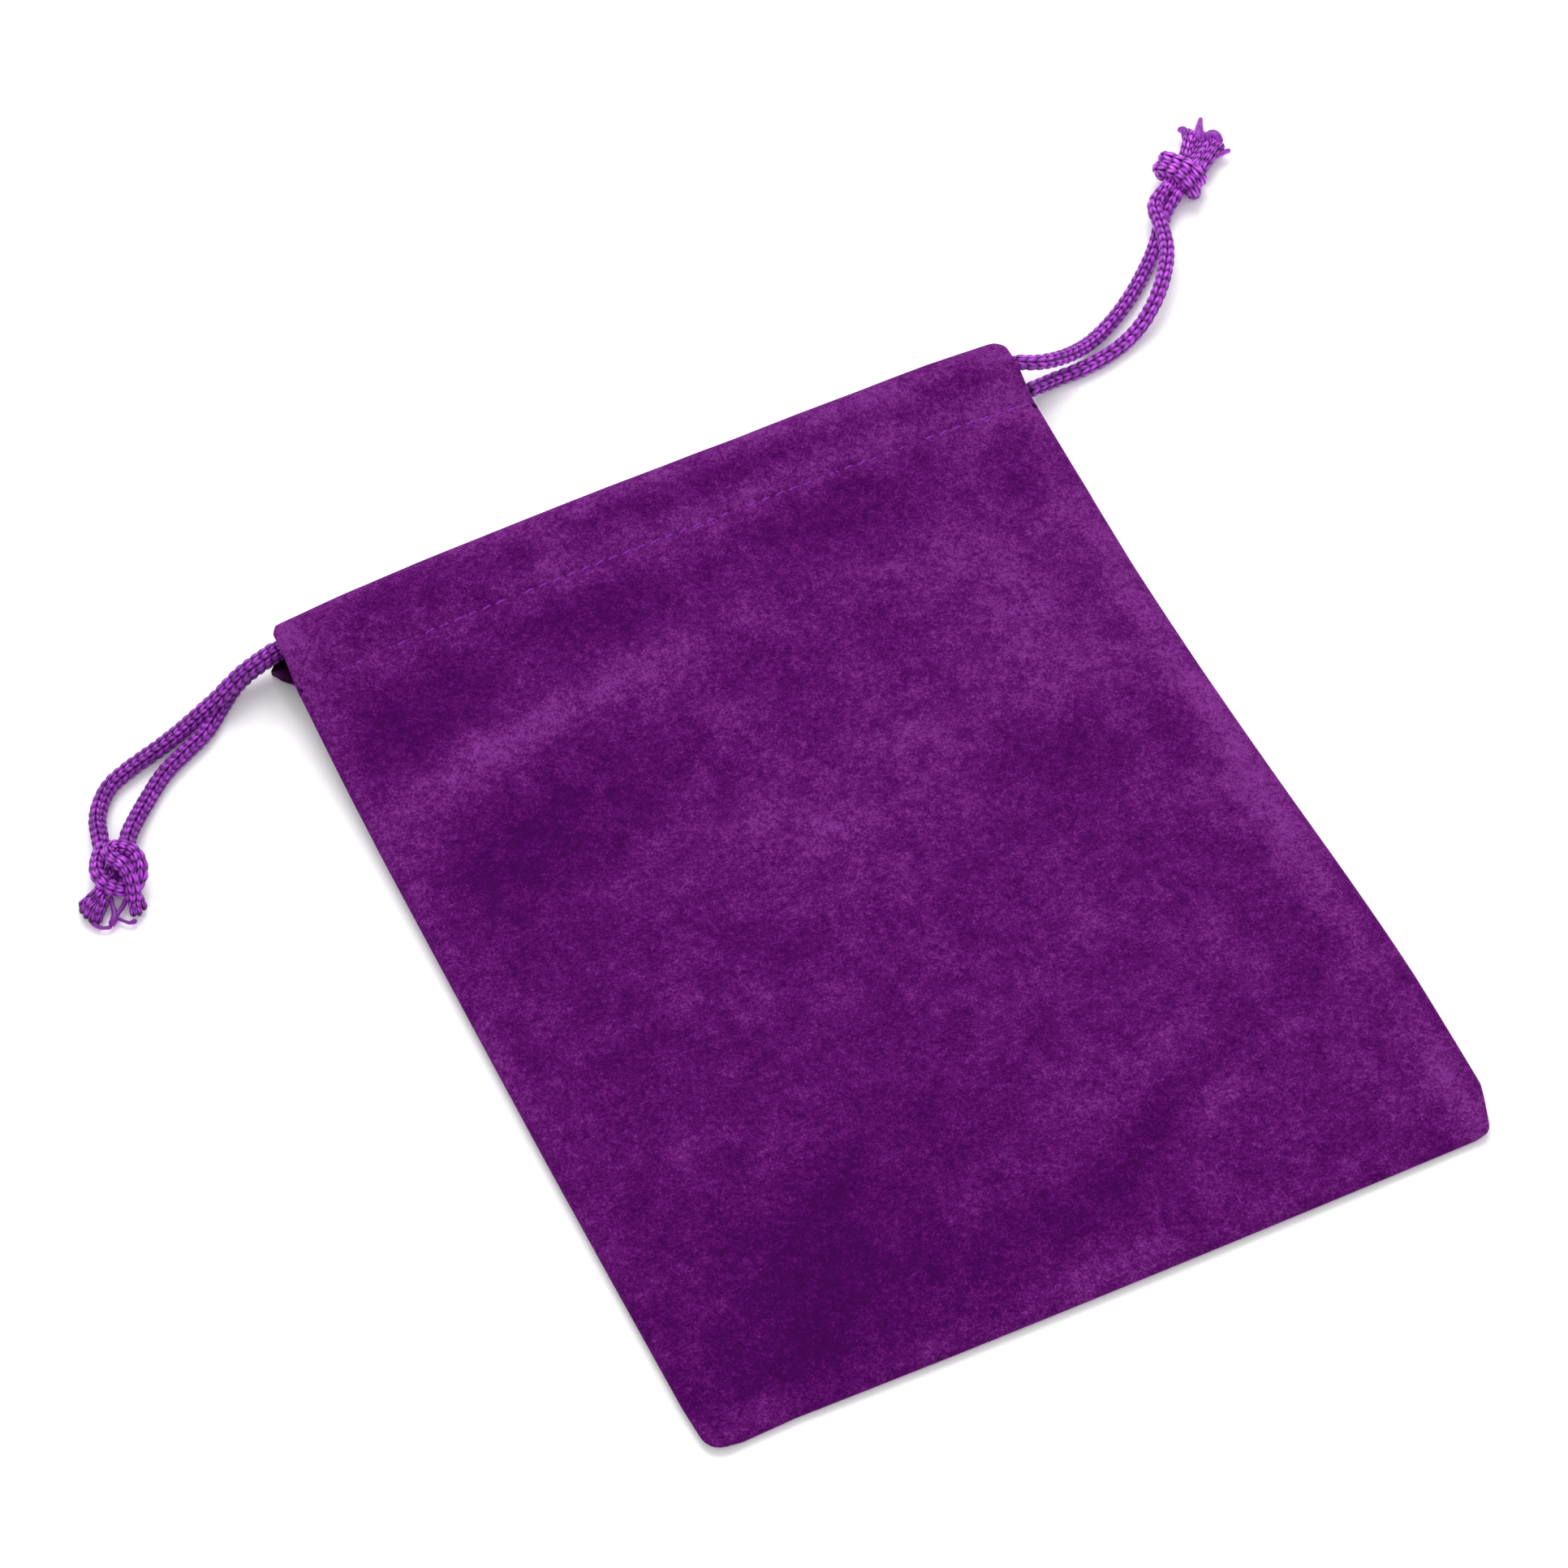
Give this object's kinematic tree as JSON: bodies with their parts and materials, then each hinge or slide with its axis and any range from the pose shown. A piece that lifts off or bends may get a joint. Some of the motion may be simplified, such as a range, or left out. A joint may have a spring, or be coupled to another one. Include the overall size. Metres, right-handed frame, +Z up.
{
  "type": "drawstring bag",
  "caption": "Flat velvet drawstring pouch with a stitched cord casing at its mouth and knotted draw cords leaving on both sides, for holding dice and small game pieces.",
  "frame": {"origin": "under the middle of the bag, on the surface it lies on, with the draw cords' free ends left out", "axes": "+X across the bag, towards the right cord's knot; +Y from the bottom fold to the mouth; +Z up, out of the front panel"},
  "size_m": [0.1794, 0.1516, 0.011],
  "materials": {
    "velvet": "short-pile velvet, matte with a soft sheen at grazing angles",
    "thread": "fine glossy sewing thread",
    "cord": "glossy knitted nylon cord"
  },
  "bodies": {
    "bag": {"front_panel": "velvet", "back_panel": "velvet", "bottom_fold": "velvet", "front_hem": "velvet", "back_hem": "velvet", "left_seam_allowance": "velvet", "right_seam_allowance": "velvet", "front_hem_stitches": "thread", "back_hem_stitches": "thread", "left_seam_stitches": "thread", "right_seam_stitches": "thread"},
    "right_cord": {"right_cord_front_run": "cord", "right_cord_back_run": "cord", "right_cord_bight": "cord", "right_cord_front_tail": "cord", "right_cord_back_tail": "cord", "right_cord_knot": "cord", "right_cord_frayed_ends": "cord"},
    "left_cord": {"left_cord_front_run": "cord", "left_cord_back_run": "cord", "left_cord_bight": "cord", "left_cord_front_tail": "cord", "left_cord_back_tail": "cord", "left_cord_knot": "cord", "left_cord_frayed_ends": "cord"}
  },
  "joints": [
    {"name": "right_cord_pull", "type": "slide", "parent": "bag", "child": "right_cord", "axis": [1, 0, 0], "range_m": [0, 0.032], "deforming": ["front_hem", "back_hem"]},
    {"name": "left_cord_pull", "type": "slide", "parent": "bag", "child": "left_cord", "axis": [-1, 0, 0], "range_m": [0, 0.032], "deforming": ["front_hem", "back_hem"]}
  ]
}
